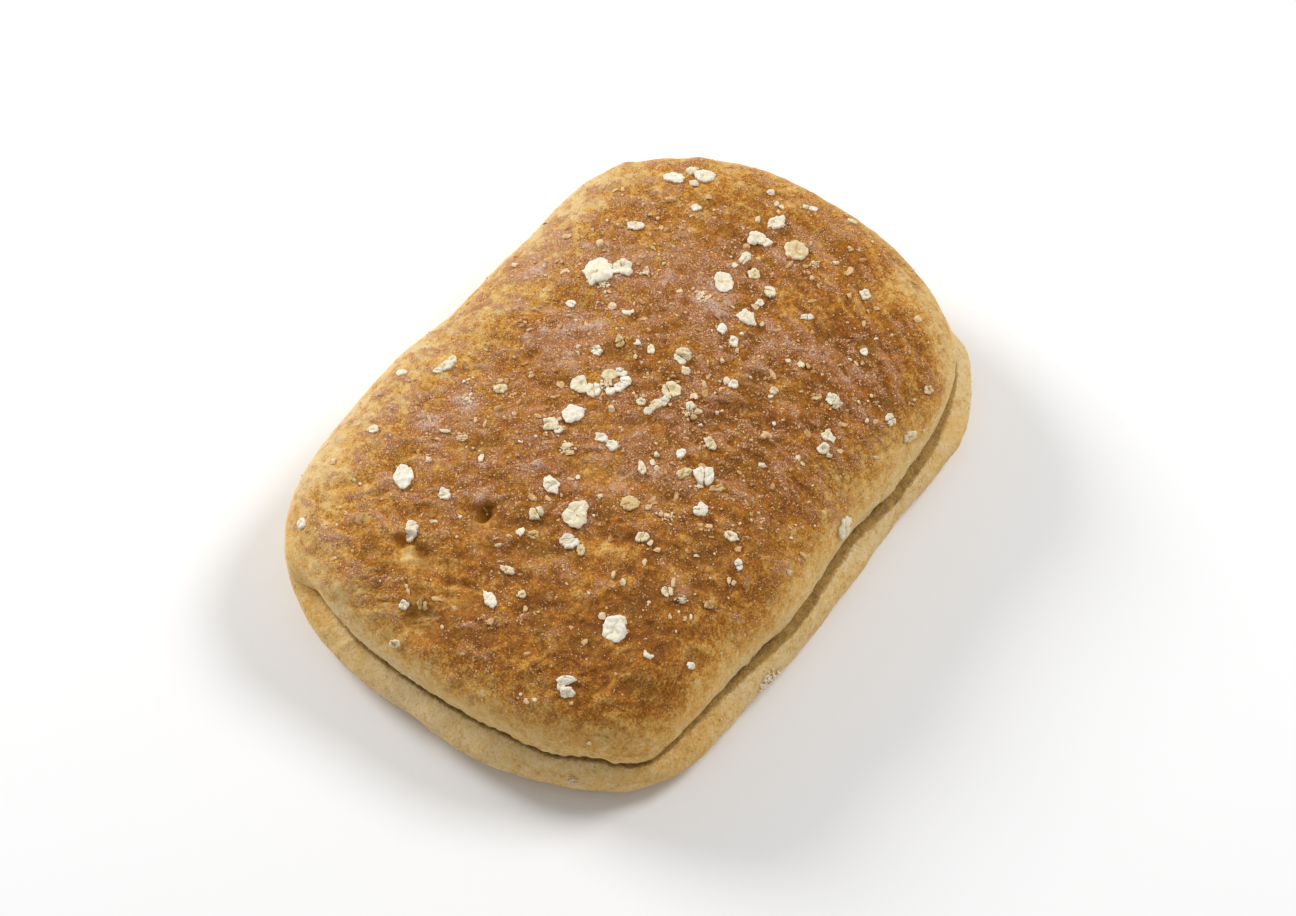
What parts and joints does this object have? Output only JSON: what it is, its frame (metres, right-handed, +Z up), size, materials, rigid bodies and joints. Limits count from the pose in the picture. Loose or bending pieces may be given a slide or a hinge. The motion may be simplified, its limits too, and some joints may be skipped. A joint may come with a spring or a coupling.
{
  "type": "oat flatbread roll",
  "caption": "Flat rounded-rectangle bread roll with a browned domed crust sprinkled with oat flakes, and a narrow slit between its upper layer and a pale rounded lip on adjoining sides",
  "frame": {"origin": "middle of the roll's box, on the flat underside that it rests on", "axes": "+X along the long side, away from the short side whose slit shows; +Y across the roll towards the long side without a slit; +Z up through the crown"},
  "size_m": [0.1316, 0.0953, 0.0299],
  "materials": {
    "crust": "matt baked wheat crust: golden brown on top with paler floury patches and fine grain, pale straw at the sides, a little darker where it browned most",
    "oats": "dry rolled oats and flour on the crust: cream white, chalky and matt, a little straw yellow in the middle of each flake"
  },
  "bodies": {
    "root": {"bread_roll": "crust"}
  },
  "joints": []
}
